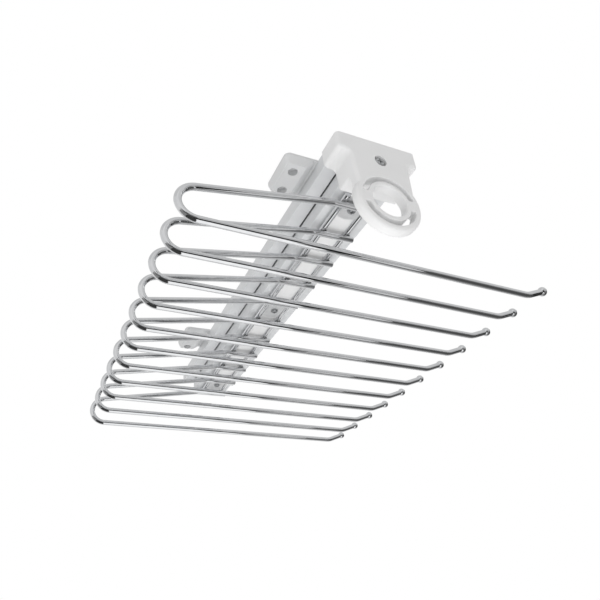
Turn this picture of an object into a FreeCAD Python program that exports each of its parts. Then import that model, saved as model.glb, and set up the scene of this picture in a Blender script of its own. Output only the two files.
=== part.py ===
import FreeCAD, Part
import math
import os
import Sketcher

# Pull out trouser rack for mounting under a wardrobe shelf.
# Frame: +Z up, +X right, -Y towards the front.  The origin lies in the shelf's plane,
# on the rail's centreline, half way along the rail.  Millimetres and degrees.

os.makedirs("parts", exist_ok=True)
doc = FreeCAD.newDocument("trouser_rack")
sheet = doc.addObject("Spreadsheet::Sheet", "dims")

DIMENSIONS = (
    ("rail_length", 430, "fixed rail, front to rear"),
    ("rail_width", 73, "fixed rail, outside"),
    ("rail_height", 15, "fixed rail, shelf face to underside of lips"),
    ("rail_wall", 2, "web and side walls of the rail"),
    ("lip_thickness", 2.2, "inward lips of the rail"),
    ("lip_gap", 0.8, "air between a lip and the carriage"),
    ("edge_round", 0.8, "rounded outer edges of the extrusions"),
    ("ear_reach", 30, "ear, out from the rail"),
    ("ear_depth", 43, "ear, along the rail"),
    ("ear_thickness", 8.5, "raised pad of an ear, below the shelf"),
    ("ear_corner", 5, "outer corner radius of an ear"),
    ("ear_foot", 2.2, "thin foot of an ear, against the shelf"),
    ("ear_valley", 2, "foot of an ear between its raised pad and the rail"),
    ("ear_side_lean", 2.3, "outer and rear sides of the pad lean in"),
    ("ear_front_lean", 3.9, "front side of the pad leans in"),
    ("ear_rail_lean", 8, "side of the pad towards the rail leans in"),
    ("ear_face_corner", 2.5, "corner radius of the pad's face"),
    ("ear_rim_round", 0.8, "rounded rim of the pad's face"),
    ("ear_core_inset", 1.6, "core inside the pad's face"),
    ("ear_root", 1.5, "ear tongue's root inside the foot"),
    ("ear_floor", 4, "solid floor of an ear"),
    ("ear_front_place", 30.5, "front ear's centre behind the rail's front end"),
    ("ear_spacing", 300, "front ear to rear ear"),
    ("ear_hole_spacing", 23, "between the two shelf screws of an ear"),
    ("ear_hole_edge", 11, "shelf screws from the ear's outer edge"),
    ("ear_hole_offset", 2.4, "shelf screws behind the ear's middle"),
    ("ear_hole_radius", 2.3, "hole for a 4 mm shelf screw"),
    ("ear_bore_radius", 4.3, "counterbore for the shelf screw's head"),
    ("ear_bore_depth", 5.5, "counterbore, deep"),
    ("ear_boss_radius", 5.8, "boss round a shelf screw"),
    ("tongue_length", 12, "ear tongue inside the rail's wall"),
    ("tongue_width", 30, "ear tongue, along the rail"),
    ("tongue_thickness", 2.5, "ear tongue, below the web"),
    ("tongue_clearance", 0.2, "tongue in its slot"),
    ("tongue_screw_spacing", 18, "between the two screws of a tongue"),
    ("tongue_screw_place", 7, "tongue screws from the wall's outer face"),
    ("small_screw_radius", 1.6, "tongue screw's thread"),
    ("small_head_radius", 3, "tongue screw's flat head"),
    ("slide_setback", 4, "slide behind the rail's front end"),
    ("slide_rear_room", 26, "slide ahead of the rail's rear end"),
    ("buffer_room", 8, "outer member behind the closed middle and inner members"),
    ("slide_width", 45, "ball slide, outside"),
    ("slide_thickness", 12.7, "ball slide, web to web"),
    ("sheet_thickness", 1.2, "rolled steel of the slide"),
    ("flange_end_gap", 0.7, "outer flanges above the carriage"),
    ("ball_diameter", 3.2, "steel balls"),
    ("race_gap", 0.2, "ball to race"),
    ("race_spread", 50, "half angle of a race round its balls"),
    ("ball_drop", 5, "outer ball row below the rail's web"),
    ("row_step", 3.8, "inner ball row below the outer row"),
    ("inner_top", 0.8, "inner flange above its race"),
    ("ball_pitch", 18, "ball to ball along a cage"),
    ("balls_per_row", 8, "balls in each row"),
    ("cage_end", 6, "cage beyond its end balls"),
    ("cage_thickness", 0.8, "cage strip"),
    ("cage_wrap", 1, "cage past the balls' centres"),
    ("cage_reach", 2.7, "cage away from the balls' centres"),
    ("cage_ball_gap", 0.1, "pocket round a ball"),
    ("slide_rivet_radius", 2, "rivet through web and slide"),
    ("slide_rivet_head", 3.6, "rivet head radius"),
    ("slide_rivet_sink", 1, "countersunk head, deep"),
    ("slide_rivet_bulge", 0.9, "formed head below the slide"),
    ("slide_rivet_spacing", 150, "rivet to rivet"),
    ("buffer_width", 18, "rubber buffer"),
    ("buffer_gap", 0.4, "buffer behind the closed slide"),
    ("carriage_width", 45, "carriage profile"),
    ("carriage_height", 13.5, "carriage profile"),
    ("carriage_wall", 2, "carriage walls"),
    ("carriage_rivet_radius", 2, "blind rivet through the slide and the carriage"),
    ("carriage_rivet_head", 3.4, "blind rivet's head radius"),
    ("carriage_rivet_rise", 0.9, "blind rivet's heads, high"),
    ("carriage_rivet_row", 9, "blind rivets beside the centreline"),
    ("carriage_rivet_spacing", 165, "blind rivet to blind rivet"),
    ("carriage_rear_gap", 5.5, "rear caps' outer face behind the carriage profile"),
    ("port_height", 5.5, "screw port above the carriage's underside"),
    ("port_radius", 4.2, "screw port, outside"),
    ("port_bore", 2.15, "screw port, bore radius"),
    ("port_rib", 1.6, "rib that carries the port"),
    ("bed_thickness", 3, "plastic strip between the rods"),
    ("wire_radius", 3, "rods and hangers"),
    ("rod_spacing", 24, "between the two ladder rods"),
    ("rod_overhang", 8, "rod beyond the first and last hanger"),
    ("wire_round", 0.8, "rounded cut ends of the wire"),
    ("weld_sink", 0.6, "hanger pressed into the rods at the weld"),
    ("hanger_count", 11, "hangers"),
    ("first_hanger_place", 17, "first hanger behind the rail's front end"),
    ("last_hanger_place", 13, "last hanger ahead of the rail's rear end"),
    ("hanger_overhang", 3.5, "top leg past the right rod"),
    ("shoulder_place", 8, "top leg's bend outside the left rod"),
    ("shoulder_bend", 25, "radius of that bend"),
    ("top_leg_slope", 9.5, "slope of the top leg, degrees"),
    ("loop_place", 139, "loop's centre left of the centreline"),
    ("loop_radius", 15.5, "loop, to the wire's centre"),
    ("low_leg_slope", 1.15, "slope of the lower leg, degrees"),
    ("tip_place", 196.5, "ball's centre right of the centreline"),
    ("tip_bend", 22, "radius of the tip's bend"),
    ("tip_slope", 20, "rise of the tip, degrees"),
    ("tip_straight", 19, "straight end that carries the ball"),
    ("tip_ball_radius", 4.5, "ball on the tip"),
    ("tab_length", 28, "screw tab between the rods"),
    ("tab_thickness", 1.5, "screw tab"),
    ("tab_bow", 16, "radius of the tab's rounded ends"),
    ("middle_tab_bay", 4.5, "middle tab, in hanger pitches behind the first hanger"),
    ("rear_tab_bay", 0.5, "rear tab, in hanger pitches ahead of the last hanger"),
    ("tab_screw_offset", 2, "front tab's screw behind its middle"),
    ("ladder_screw_radius", 2, "ladder screw's thread"),
    ("ladder_head_radius", 3.8, "ladder screw's pan head"),
    ("ladder_head_height", 2.4, "ladder screw's pan head"),
    ("ladder_screw_depth", 10.5, "thread inside the carriage"),
    ("screw_clearance", 0.25, "screw in a plain hole"),
    ("cap_gap", 1.5, "front cap ahead of the rail"),
    ("cap_shelf_gap", 1.5, "front cap below the shelf"),
    ("cap_width", 77, "front cap, across its wings"),
    ("cap_wing_height", 17.5, "wings of the front cap"),
    ("cap_depth", 25, "front cap, front to rear"),
    ("cap_corner", 4, "rounded lower corners of the wings"),
    ("cap_front_round", 3.5, "rounded front edges of wings, neck and ring"),
    ("wing_cove", 5, "hollow between wing and neck"),
    ("cap_wall", 3, "cap walls round the cored back"),
    ("cap_core_depth", 20, "cores in the cap's back"),
    ("neck_width", 57, "neck below the wings"),
    ("neck_end", 1.2, "neck below the lowest wire of the ladder"),
    ("tongue_plate", 9.5, "handle plate, front to rear"),
    ("waist_width", 52.5, "handle plate above the ring"),
    ("ring_drop", 64, "ring's centre below the cap's top"),
    ("ring_radius", 29.5, "ring, outside"),
    ("slot_outer", 24, "arc slots, outer radius"),
    ("slot_inner", 19.5, "arc slots, inner radius"),
    ("ring_hole", 15.5, "finger hole radius"),
    ("spoke_width", 11, "spokes between the slots"),
    ("ring_round", 2, "rounded rear rim of the ring"),
    ("hole_round", 1.2, "rounded edges of slots and finger hole"),
    ("slot_corner", 1.2, "rounded corners of the arc slots"),
    ("cut_margin", 1, "cutters reach past the faces that they open"),
    ("cove_radius", 5, "hollow between neck and handle plate"),
    ("peg_length", 10, "cap pegs inside the carriage"),
    ("peg_clearance", 0.2, "cap pegs in the carriage"),
    ("cap_screw_radius", 2.1, "cap screw's thread"),
    ("cap_screw_length", 32, "cap screw under its head"),
    ("cap_head_radius", 4.8, "cap screw's pan head"),
    ("cap_head_height", 3, "cap screw's pan head"),
    ("cap_bore_radius", 5.6, "recess round the cap screw's head"),
    ("cap_bore_depth", 3.6, "recess, deep"),
    ("end_plate", 2.5, "rear caps"),
    ("plug_length", 8, "plugs of the rear caps"),
    ("plug_clearance", 0.15, "plugs in their profiles"),
)


class Size:
    """A size as a number and as the spreadsheet expression that gives it."""

    def __init__(self, value, text):
        self.value = float(value)
        self.text = text

    def __add__(self, other):
        other = as_size(other)
        return Size(self.value + other.value, f"({self.text} + {other.text})")

    def __radd__(self, other):
        return as_size(other) + self

    def __sub__(self, other):
        other = as_size(other)
        return Size(self.value - other.value, f"({self.text} - {other.text})")

    def __rsub__(self, other):
        return as_size(other) - self

    def __mul__(self, other):
        other = as_size(other)
        return Size(self.value * other.value, f"({self.text} * {other.text})")

    def __rmul__(self, other):
        return as_size(other) * self

    def __truediv__(self, other):
        other = as_size(other)
        return Size(self.value / other.value, f"({self.text} / {other.text})")

    def __neg__(self):
        return Size(-self.value, f"(-{self.text})")


def as_size(number):
    if isinstance(number, Size):
        return number
    return Size(number, f"({float(number)})")


def sine(angle):
    return Size(math.sin(math.radians(angle.value)), f"sin({angle.text} * 1 deg)")


def cosine(angle):
    return Size(math.cos(math.radians(angle.value)), f"cos({angle.text} * 1 deg)")


def root(square):
    return Size(math.sqrt(square.value), f"sqrt({square.text})")


def smaller(first, second):
    first, second = as_size(first), as_size(second)
    return Size(min(first.value, second.value), f"min({first.text}; {second.text})")


class Dimensions:
    """The spreadsheet's cells, each one a Size under its alias."""


for row, (alias, number, meaning) in enumerate(DIMENSIONS, start=1):
    sheet.set(f"A{row}", meaning)
    sheet.set(f"B{row}", str(number))
    sheet.setAlias(f"B{row}", alias)
    setattr(Dimensions, alias, Size(number, f"dims.{alias}"))
doc.recompute()
d = Dimensions
subparts = []


# ---------------------------------------------------------------- helpers

LEAST_CUT = 0.01  # cubic millimetres that any cut takes away
NEARLY = 1e-4  # millimetres within which two places count as one
EDGE_ROOM = 0.5  # millimetres between an edge and the limit that keeps it in or out
EDGE_SAMPLES = 5  # points along an edge that stand for its whole run
FLAT_ROOM = 1  # millimetres that a hollow and the corner beside it leave flat between them
ROUND_ROOM = 0.5  # millimetres by which a rounded edge stays below the corner that it follows


def bind(thing, path, size):
    thing.setExpression(path, as_size(size).text)


def name_subpart(label, thing):
    thing.Label = label
    subparts.append(thing)
    return thing


def place(thing, x=0, y=0, z=0):
    for axis, offset in zip("xyz", (x, y, z)):
        bind(thing, f".Placement.Base.{axis}", offset)


def box(x, y, z):
    """A block between pairs of limits along X, Y and Z."""
    block = doc.addObject("Part::Box", "block")
    for path, (low, high) in zip(("Length", "Width", "Height"), (x, y, z)):
        bind(block, path, as_size(high) - low)
    place(block, x[0], y[0], z[0])
    return block


TURNS = {
    "x": FreeCAD.Rotation(FreeCAD.Vector(0, 1, 0), 90),
    "y": FreeCAD.Rotation(FreeCAD.Vector(1, 0, 0), -90),
    "z": FreeCAD.Rotation(),
}


def cylinder(axis, start, radius, length):
    """A cylinder that runs from its start point along +X, +Y or +Z."""
    drum = doc.addObject("Part::Cylinder", "drum")
    drum.Placement = FreeCAD.Placement(FreeCAD.Vector(), TURNS[axis])
    bind(drum, "Radius", radius)
    bind(drum, "Height", length)
    place(drum, *start)
    return drum


def cone(start, low_radius, high_radius, height):
    """A cone along +Z from its start point."""
    taper = doc.addObject("Part::Cone", "taper")
    bind(taper, "Radius1", low_radius)
    bind(taper, "Radius2", high_radius)
    bind(taper, "Height", height)
    place(taper, *start)
    return taper


def ball(centre, radius):
    sphere = doc.addObject("Part::Sphere", "sphere")
    bind(sphere, "Radius", radius)
    place(sphere, *centre)
    return sphere


def join(*things):
    union = doc.addObject("Part::MultiFuse", "union")
    union.Shapes = list(things)
    return union


def group(*things):
    """Separate solids kept together as one sub-part."""
    bundle = doc.addObject("Part::Compound", "bundle")
    bundle.Links = list(things)
    return bundle


def cut(base, *tools):
    """The base less its tools; the volume has to fall."""
    remainder = doc.addObject("Part::Cut", "remainder")
    remainder.Base = base
    remainder.Tool = tools[0] if len(tools) == 1 else join(*tools)
    doc.recompute()
    if not remainder.Shape.Volume < base.Shape.Volume - LEAST_CUT:
        raise RuntimeError(f"a cut in {base.Label} removes nothing")
    return remainder


def new_body(name):
    return doc.addObject("PartDesign::Body", name)


def new_sketch(body, plane, offset=None):
    """A sketch on one of the body's own origin planes, moved along its normal."""
    sketch = body.newObject("Sketcher::SketchObject", "outline")
    for feature in body.Origin.OriginFeatures:
        if feature.Role == plane:
            sketch.AttachmentSupport = [(feature, "")]
    sketch.MapMode = "FlatFace"
    if offset is not None:
        bind(sketch, ".AttachmentOffset.Base.z", offset)
    return sketch


def vector(x, y):
    return FreeCAD.Vector(x.value, y.value, 0)


def constrain(sketch, kind, *where, size):
    index = sketch.addConstraint(Sketcher.Constraint(kind, *where, as_size(size).value))
    bind(sketch, f"Constraints[{index}]", size)


def fix_point(sketch, geometry, point, x, y):
    constrain(sketch, "DistanceX", -1, 1, geometry, point, size=x)
    constrain(sketch, "DistanceY", -1, 1, geometry, point, size=y)


def circle(sketch, x, y, radius):
    centre = vector(as_size(x), as_size(y))
    index = sketch.addGeometry(Part.Circle(centre, FreeCAD.Vector(0, 0, 1), radius.value))
    fix_point(sketch, index, 3, x, y)
    constrain(sketch, "Radius", index, size=radius)


def trace(sketch, points, closed=True):
    """Lines and arcs through the points.  An arc's end point also names its centre and radius."""
    points = [tuple(as_size(number) for number in point) for point in points]
    steps = list(zip(points, points[1:] + points[:1] if closed else points[1:]))
    ends = []
    for (start, end) in steps:
        tail, head = vector(*start[:2]), vector(*end[:2])
        if len(end) == 2:
            index = sketch.addGeometry(Part.LineSegment(tail, head))
            ends.append((index, 1, 2))
            continue
        centre, radius = vector(*end[2:4]), end[4]
        turn = (tail - centre).cross(head - centre).z
        first, last = (tail, head) if turn > 0 else (head, tail)
        angles = [math.atan2(p.y - centre.y, p.x - centre.x) for p in (first, last)]
        if angles[1] < angles[0]:
            angles[1] += math.tau
        arc = Part.Circle(centre, FreeCAD.Vector(0, 0, 1), radius.value)
        index = sketch.addGeometry(Part.ArcOfCircle(arc, *angles))
        constrain(sketch, "Radius", index, size=radius)
        ends.append((index, 1, 2) if turn > 0 else (index, 2, 1))
    links = list(zip(ends, ends[1:] + ends[:1] if closed else ends[1:]))
    for (before, after) in links:
        sketch.addConstraint(Sketcher.Constraint("Coincident", before[0], before[2], after[0], after[1]))
    for (index, tail, head), (start, end) in zip(ends, steps):
        fix_point(sketch, index, tail, start[0], start[1])
    if not closed:
        fix_point(sketch, ends[-1][0], ends[-1][2], points[-1][0], points[-1][1])


def sign(size):
    return (size.value > NEARLY) - (size.value < -NEARLY)


def rounded(corners):
    """A rectilinear outline, with an arc at each corner that names a radius."""
    points = []
    for before, corner, after in zip(corners[-1:] + corners[:-1], corners, corners[1:] + corners[:1]):
        x, y = as_size(corner[0]), as_size(corner[1])
        if len(corner) == 2:
            points.append((x, y))
            continue
        radius = corner[2]
        back, ahead = ((sign(as_size(other[0]) - x), sign(as_size(other[1]) - y))
                       for other in (before, after))
        points.append((x + radius * back[0], y + radius * back[1]))
        points.append((x + radius * ahead[0], y + radius * ahead[1],
                       x + radius * (back[0] + ahead[0]), y + radius * (back[1] + ahead[1]), radius))
    return points


def rectangle(x_low, x_high, y_low, y_high, *radius):
    return rounded([(x_low, y_low, *radius), (x_high, y_low, *radius),
                    (x_high, y_high, *radius), (x_low, y_high, *radius)])


def pad(body, sketch, length, side="One side", backwards=False):
    doc.recompute()
    feature = body.newObject("PartDesign::Pad", "pad")
    feature.Profile = sketch
    feature.SideType = side
    feature.Reversed = backwards
    bind(feature, "Length", length)
    body.Tip = feature
    doc.recompute()
    return feature


def pocket(body, sketch, length, side="One side", backwards=False):
    """A pocket that has to take some volume away."""
    doc.recompute()
    before = body.Shape.Volume
    feature = body.newObject("PartDesign::Pocket", "pocket")
    feature.Profile = sketch
    feature.SideType = side
    feature.Reversed = backwards
    bind(feature, "Length", length)
    body.Tip = feature
    doc.recompute()
    if not body.Shape.Volume < before - LEAST_CUT:
        raise RuntimeError(f"a pocket in {body.Name} removes nothing")
    return feature


def fillet(body, radius, chosen):
    """Rounds the edges of the body's last feature that the test chooses."""
    base = body.Tip
    names = [f"Edge{index}" for index, edge in enumerate(base.Shape.Edges, start=1) if chosen(edge)]
    if not names:
        raise RuntimeError(f"no edge to round in {body.Name}")
    feature = body.newObject("PartDesign::Fillet", "fillet")
    feature.Base = (base, names)
    bind(feature, "Radius", radius)
    body.Tip = feature
    doc.recompute()
    if "Invalid" in feature.State:
        raise RuntimeError(f"rounding {len(names)} edges of {body.Name} failed")
    return feature


def rolled_sheet(points, length, centre_y):
    """Steel strip rolled to a line through the points, seen along the rack."""
    line = doc.addObject("Sketcher::SketchObject", "midline")
    line.Placement = FreeCAD.Placement(FreeCAD.Vector(), FreeCAD.Rotation(FreeCAD.Vector(1, 0, 0), 90))
    place(line, y=centre_y)
    trace(line, points, closed=False)
    strip = doc.addObject("Part::Offset2D", "strip")
    strip.Source = line
    bind(strip, "Value", d.sheet_thickness / 2)
    member = doc.addObject("Part::Extrusion", "member")
    member.Base = strip
    member.DirMode = "Normal"
    member.Solid = True
    member.Symmetric = True
    bind(member, "LengthFwd", length)
    doc.recompute()
    return member


def mirrored(points):
    """An open line from its left end to its right end, given the right half."""
    left = []
    for index in range(len(points) - 1, -1, -1):
        x, y = points[index][:2]
        arc = points[index + 1][2:] if index + 1 < len(points) else ()
        left.append((-x, y) + ((-arc[0],) + tuple(arc[1:]) if arc else ()))
    return left + points


# ---------------------------------------------------------------- shared places

rail_front = -d.rail_length / 2
rail_rear = d.rail_length / 2
rail_side = d.rail_width / 2
lip_edge = d.carriage_width / 2 + d.lip_gap

slide_length = d.rail_length - d.slide_setback - d.slide_rear_room
member_length = slide_length - d.buffer_room
slide_front = rail_front + d.slide_setback
slide_centre = slide_front + slide_length / 2
member_centre = slide_front + member_length / 2
slide_web = -d.rail_wall - d.sheet_thickness
slide_underside = -d.rail_wall - d.slide_thickness

carriage_top = slide_underside
carriage_underside = carriage_top - d.carriage_height
carriage_side = d.carriage_width / 2
cap_rear = rail_front - d.cap_gap
carriage_rear = rail_rear + d.end_plate - d.carriage_rear_gap

rod_height = carriage_underside - d.wire_radius
rod_place = d.rod_spacing / 2
first_hanger = rail_front + d.first_hanger_place
last_hanger = rail_rear - d.last_hanger_place
hanger_pitch = (last_hanger - first_hanger) / (d.hanger_count - 1)
leg_height = rod_height - d.wire_radius * 2 + d.weld_sink
bed_underside = carriage_underside - d.bed_thickness
tab_underside = bed_underside - d.tab_thickness

tab_places = {
    "front": first_hanger - d.rod_overhang + d.tab_length / 2,
    "middle": first_hanger + d.middle_tab_bay * hanger_pitch,
    "rear": last_hanger - d.rear_tab_bay * hanger_pitch,
}
ladder_screw_places = [
    tab_places["front"] + d.tab_screw_offset,
    tab_places["middle"],
    tab_places["rear"],
]
port_centre = carriage_underside + d.port_height
carriage_rivet_places = [(x, member_centre + d.carriage_rivet_spacing * step)
                         for step in (-1, 0, 1) for x in (-d.carriage_rivet_row, d.carriage_rivet_row)]


# ---------------------------------------------------------------- fixed rail and its ears

def fixed_rail():
    """Aluminium channel with inward lips, open below; it stands flat against the shelf."""
    body = new_body("rail_profile")
    sketch = new_sketch(body, "XZ_Plane")
    inside = rail_side - d.rail_wall
    lip_top = d.lip_thickness - d.rail_height
    half = [
        (rail_side, 0, d.edge_round), (rail_side, -d.rail_height, d.edge_round),
        (lip_edge, -d.rail_height, d.edge_round), (lip_edge, lip_top),
        (inside, lip_top), (inside, -d.rail_wall),
    ]
    other_half = [(-corner[0], *corner[1:]) for corner in reversed(half)]
    trace(sketch, rounded(half + other_half))
    pad(body, sketch, d.rail_length, side="Symmetric")
    openings = []
    for centre in ear_places:
        half_slot = d.tongue_width / 2 + d.tongue_clearance
        openings.append(box((-rail_side - d.cut_margin, -inside + d.cut_margin),
                            (centre - half_slot, centre + half_slot),
                            (-d.rail_wall - d.tongue_thickness - d.tongue_clearance, d.cut_margin)))
        for y in tongue_screw_places(centre):
            openings += countersink(tongue_screw_x, y, 0, d.small_screw_radius, d.small_head_radius,
                                    d.rail_wall, d.small_head_radius - d.small_screw_radius)
    for y in slide_rivet_places:
        openings += countersink(0, y, 0, d.slide_rivet_radius, d.slide_rivet_head,
                                d.rail_wall, d.slide_rivet_sink)
    name_subpart("fixed_rail", cut(body, *openings))


def countersink(x, y, top, radius, head_radius, depth, sink):
    """Tools or solids for a countersunk shank: the shank and its head, down from the top."""
    return [cylinder("z", (x, y, top - depth), radius, depth),
            cone((x, y, top - sink), radius, head_radius, sink)]


def tongue_screw_places(centre):
    return [centre - d.tongue_screw_spacing / 2, centre + d.tongue_screw_spacing / 2]


ear_places = [rail_front + d.ear_front_place, rail_front + d.ear_front_place + d.ear_spacing]
tongue_screw_x = -rail_side + d.tongue_screw_place
slide_rivet_places = [slide_centre - d.slide_rivet_spacing, slide_centre,
                      slide_centre + d.slide_rivet_spacing]


def mounting_ear(label, centre):
    """Moulded ear: a thin foot against the shelf, a raised pad whose sides lean in, cored from
    above round two bosses, and a joggled tongue that hooks into the rail's side."""
    body = new_body("ear")
    outer, inner = -rail_side - d.ear_reach, -rail_side - d.ear_valley
    half = d.ear_depth / 2
    foot = new_sketch(body, "XY_Plane")
    trace(foot, rounded([(outer, -half, d.ear_corner), (-rail_side, -half),
                         (-rail_side, half), (outer, half, d.ear_corner)]))
    pad(body, foot, d.ear_foot, backwards=True)
    face = [outer + d.ear_side_lean, inner - d.ear_rail_lean,
            -half + d.ear_front_lean, half - d.ear_side_lean]
    base_outline = new_sketch(body, "XY_Plane", offset=-d.ear_foot)
    trace(base_outline, rectangle(outer, inner, -half, half, d.ear_corner))
    face_outline = new_sketch(body, "XY_Plane", offset=-d.ear_thickness)
    trace(face_outline, rectangle(*face, d.ear_face_corner))
    doc.recompute()
    raised = body.newObject("PartDesign::AdditiveLoft", "raised")
    raised.Profile = base_outline
    raised.Sections = [face_outline]
    raised.Ruled = True
    body.Tip = raised
    doc.recompute()
    fillet(body, d.ear_rim_round, lambda edge: lies_at(edge, z=-d.ear_thickness))
    core = new_sketch(body, "XY_Plane")
    inset = d.ear_core_inset
    trace(core, rectangle(face[0] + inset, face[1] - inset, face[2] + inset, face[3] - inset,
                          d.ear_face_corner - inset))
    pocket(body, core, d.ear_thickness - d.ear_floor)
    hole_x = outer + d.ear_hole_edge
    bosses = new_sketch(body, "XY_Plane")
    shanks = new_sketch(body, "XY_Plane")
    bores = new_sketch(body, "XY_Plane", offset=-d.ear_thickness)
    for y in (d.ear_hole_offset - d.ear_hole_spacing / 2, d.ear_hole_offset + d.ear_hole_spacing / 2):
        circle(bosses, hole_x, y, d.ear_boss_radius)
        circle(shanks, hole_x, y, d.ear_hole_radius)
        circle(bores, hole_x, y, d.ear_bore_radius)
    pad(body, bosses, d.ear_thickness, backwards=True)
    pocket(body, shanks, d.ear_thickness)
    pocket(body, bores, d.ear_bore_depth, backwards=True)
    tongue_low = -d.rail_wall - d.tongue_thickness
    root_end = -rail_side + d.rail_wall + d.cut_margin - d.tongue_clearance
    tongue = new_sketch(body, "XZ_Plane")
    trace(tongue, [(-rail_side - d.ear_root, 0), (root_end, 0), (root_end, -d.rail_wall),
                   (-rail_side + d.tongue_length, -d.rail_wall),
                   (-rail_side + d.tongue_length, tongue_low), (-rail_side, tongue_low),
                   (-rail_side, -d.ear_foot), (-rail_side - d.ear_root, -d.ear_foot)])
    pad(body, tongue, d.tongue_width, side="Symmetric")
    threads = new_sketch(body, "XY_Plane", offset=-d.rail_wall)
    for y in tongue_screw_places(as_size(0)):
        circle(threads, tongue_screw_x, y, d.small_screw_radius)
    pocket(body, threads, d.tongue_thickness)
    place(body, y=centre)
    name_subpart(label, body)


def ear_screws():
    """Four flat-head screws, down through the rail's web into the ears' tongues."""
    length = d.rail_wall + d.tongue_thickness
    screws = []
    for centre in ear_places:
        for y in tongue_screw_places(centre):
            shank, head = countersink(tongue_screw_x, y, 0, d.small_screw_radius, d.small_head_radius,
                                      length, d.small_head_radius - d.small_screw_radius)
            screws.append(join(shank, head))
    name_subpart("ear_screws", group(*screws))


def rail_rear_cap():
    """Moulded cap that closes the rail behind, with a plug on each side of the slide."""
    body = new_body("rail_end")
    sketch = new_sketch(body, "XZ_Plane", offset=-rail_rear)
    trace(sketch, rectangle(-rail_side, rail_side, -d.rail_height, 0, d.edge_round))
    pad(body, sketch, d.end_plate, backwards=True)
    plugs = new_sketch(body, "XZ_Plane", offset=-rail_rear)
    gap = d.plug_clearance
    low, high = d.lip_thickness - d.rail_height + gap, -d.rail_wall - gap
    near, far = lip_edge, rail_side - d.rail_wall - gap
    trace(plugs, rectangle(near, far, low, high, d.edge_round))
    trace(plugs, rectangle(-far, -near, low, high, d.edge_round))
    pad(body, plugs, d.plug_length)
    name_subpart("rail_rear_cap", body)


# ---------------------------------------------------------------- three-member ball slide
# Each race is an arc round the centre of its balls.  The middle member's flange is an S: it
# wraps the inside of the outer balls, then the outside of the inner balls.

ball_radius = d.ball_diameter / 2
race = ball_radius + d.race_gap + d.sheet_thickness / 2
race_rise = race * sine(d.race_spread)
race_run = race * cosine(d.race_spread)
outer_row_x = d.slide_width / 2 - d.sheet_thickness - d.race_gap - ball_radius
outer_row_z = -d.rail_wall - d.ball_drop
inner_row_x = outer_row_x - root(race * race * 4 - d.row_step * d.row_step)
inner_row_z = outer_row_z - d.row_step


def slide_outer():
    x = outer_row_x + race_run
    web = -d.rail_wall - d.sheet_thickness / 2
    half = [
        (x, web),
        (x, outer_row_z + race_rise),
        (x, outer_row_z - race_rise, outer_row_x, outer_row_z, race),
        (x, slide_underside + d.flange_end_gap + d.sheet_thickness / 2),
    ]
    member = rolled_sheet(mirrored(half), slide_length, slide_centre)
    holes = [cylinder("z", (0, y, slide_web), d.slide_rivet_radius, d.sheet_thickness)
             for y in slide_rivet_places]
    name_subpart("slide_outer_member", cut(member, *holes))


def slide_middle():
    half = [
        (outer_row_x - race_run, outer_row_z + race_rise),
        ((outer_row_x + inner_row_x) / 2, (outer_row_z + inner_row_z) / 2,
         outer_row_x, outer_row_z, race),
        (inner_row_x + race_run, inner_row_z - race_rise, inner_row_x, inner_row_z, race),
    ]
    name_subpart("slide_middle_member", rolled_sheet(mirrored(half), member_length, member_centre))


def slide_inner():
    x = inner_row_x - race_run
    half = [
        (x, slide_underside + d.sheet_thickness / 2),
        (x, inner_row_z - race_rise),
        (x, inner_row_z + race_rise, inner_row_x, inner_row_z, race),
        (x, inner_row_z + race_rise + d.inner_top),
    ]
    member = rolled_sheet(mirrored(half), member_length, member_centre)
    holes = [cylinder("z", (x, y, slide_underside), d.carriage_rivet_radius, d.sheet_thickness)
             for x, y in carriage_rivet_places]
    name_subpart("slide_inner_member", cut(member, *holes))


def ball_cage(label, row_x, row_z, reach_up):
    """A comb strip for each row, with an open pocket for each ball, and the balls themselves."""
    count = int(d.balls_per_row.value)
    span = (d.balls_per_row - 1) * d.ball_pitch
    half = span / 2 + d.cage_end
    low, high = (row_z - d.cage_wrap, row_z + d.cage_reach) if reach_up else (
        row_z - d.cage_reach, row_z + d.cage_wrap)
    strips, balls = [], []
    for x in (-row_x, row_x):
        strip = box((x - d.cage_thickness / 2, x + d.cage_thickness / 2),
                    (member_centre - half, member_centre + half), (low, high))
        centres = [(x, member_centre - span / 2 + d.ball_pitch * index, row_z) for index in range(count)]
        strips.append(cut(strip, *[ball(centre, ball_radius + d.cage_ball_gap) for centre in centres]))
        balls += [ball(centre, ball_radius) for centre in centres]
    name_subpart(f"{label}_ball_cage", group(*strips))
    name_subpart(f"{label}_balls", group(*balls))


def slide_rivets():
    """Three rivets, countersunk in the rail's web and headed below the slide's outer web."""
    rivets = []
    for y in slide_rivet_places:
        shank, head = countersink(0, y, 0, d.slide_rivet_radius, d.slide_rivet_head,
                                  d.rail_wall + d.sheet_thickness, d.slide_rivet_sink)
        foot = cone((0, y, slide_web - d.slide_rivet_bulge), d.slide_rivet_radius,
                    d.slide_rivet_head, d.slide_rivet_bulge)
        rivets.append(join(shank, head, foot))
    name_subpart("slide_rivets", group(*rivets))


def closing_buffer():
    """Rubber block on the outer web, which the members meet when the rack is pushed home."""
    half = d.buffer_width / 2
    front = slide_front + member_length + d.buffer_gap
    name_subpart("closing_buffer", box((-half, half), (front, slide_front + slide_length),
                                       (slide_underside + d.sheet_thickness, slide_web)))


# ---------------------------------------------------------------- carriage

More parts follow.
